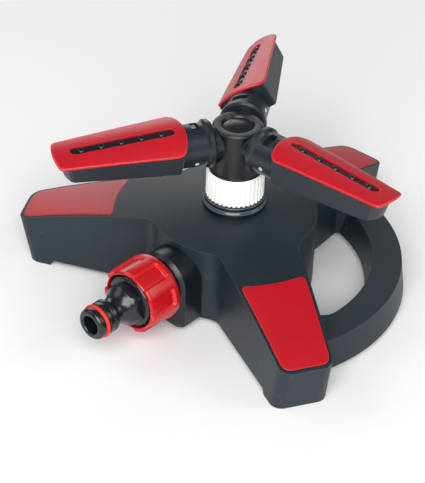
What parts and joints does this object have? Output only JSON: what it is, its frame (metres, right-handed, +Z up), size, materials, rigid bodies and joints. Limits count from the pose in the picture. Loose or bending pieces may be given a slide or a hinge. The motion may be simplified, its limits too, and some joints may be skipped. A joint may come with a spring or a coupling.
{
  "type": "garden sprinkler",
  "caption": "Rotating lawn sprinkler: tilting spray arms on a spinning hub over a three-legged hollow base with a carrying handle and a quick-connect hose inlet.",
  "frame": {"origin": "on the rotor axis, at the ground under the feet", "axes": "+Z up along the rotor axis, -Y towards the hose inlet, +X to the right seen from the inlet"},
  "size_m": [0.2014, 0.213, 0.0995],
  "materials": {
    "anthracite": "satin",
    "dark": "semi-gloss",
    "red": "satin",
    "nut_red": "semi-gloss",
    "white": "satin",
    "rubber": "matte",
    "oring_red": "satin",
    "steel": "satin",
    "natural": "satin"
  },
  "bodies": {
    "base": {"base_shell": "anthracite", "carry_handle": "anthracite", "leg_badge_left": "red", "leg_badge_front": "red", "leg_badge_back": "red", "water_elbow": "dark", "elbow_screws": "steel", "riser_collar": "dark", "bearing_washer": "natural"},
    "lock_ring": {"lock_ring": "white"},
    "rotor": {"rotor_stem": "natural", "stem_seals": "rubber", "rotor_hub": "dark", "hub_cap": "dark", "arm_seals": "rubber"},
    "arm_left": {"arm_body_left": "anthracite", "arm_cover_left": "red", "nozzle_strip_left": "dark", "arm_latch_left": "dark", "arm_pins_left": "steel"},
    "arm_back": {"arm_body_back": "anthracite", "arm_cover_back": "red", "nozzle_strip_back": "dark", "arm_latch_back": "dark", "arm_pins_back": "steel"},
    "arm_right": {"arm_body_right": "anthracite", "arm_cover_right": "red", "nozzle_strip_right": "dark", "arm_latch_right": "dark", "arm_pins_right": "steel"},
    "nipple": {"inlet_nipple": "dark", "nipple_oring": "oring_red", "inlet_washer": "rubber", "filter_screen": "natural"},
    "nut": {"union_nut": "nut_red"}
  },
  "joints": [
    {"name": "rotor_spin", "type": "hinge", "parent": "base", "child": "rotor", "pos_m": [0, 0, 0.07], "axis": [0, 0, 1], "continuous": true},
    {"name": "lock_ring_turn", "type": "hinge", "parent": "base", "child": "lock_ring", "pos_m": [0, 0, 0.06], "axis": [0, 0, 1], "range_deg": [0, 90]},
    {"name": "arm_tilt_left", "type": "hinge", "parent": "rotor", "child": "arm_left", "pos_m": [0, 0, 0.0844], "axis": [0.4863, 0.8738, 0], "range_deg": [-11, 34]},
    {"name": "arm_tilt_back", "type": "hinge", "parent": "rotor", "child": "arm_back", "pos_m": [0, 0, 0.0844], "axis": [0.5135, -0.8581, 0], "range_deg": [-38, 7]},
    {"name": "arm_tilt_right", "type": "hinge", "parent": "rotor", "child": "arm_right", "pos_m": [0, 0, 0.0844], "axis": [-0.9999, -0.0157, 0], "range_deg": [-5, 40]},
    {"name": "nipple_slide", "type": "slide", "parent": "base", "child": "nipple", "axis": [0, -1, 0], "range_m": [0, 0.0091]},
    {"name": "nut_turn", "type": "hinge", "parent": "nipple", "child": "nut", "pos_m": [0, -0.066, 0.0249], "axis": [0, -1, 0], "range_deg": [0, 1800]}
  ],
  "couplings": [
    {"joint": "nipple_slide", "follows": "nut_turn", "m_per_rad": 0.00028871}
  ]
}
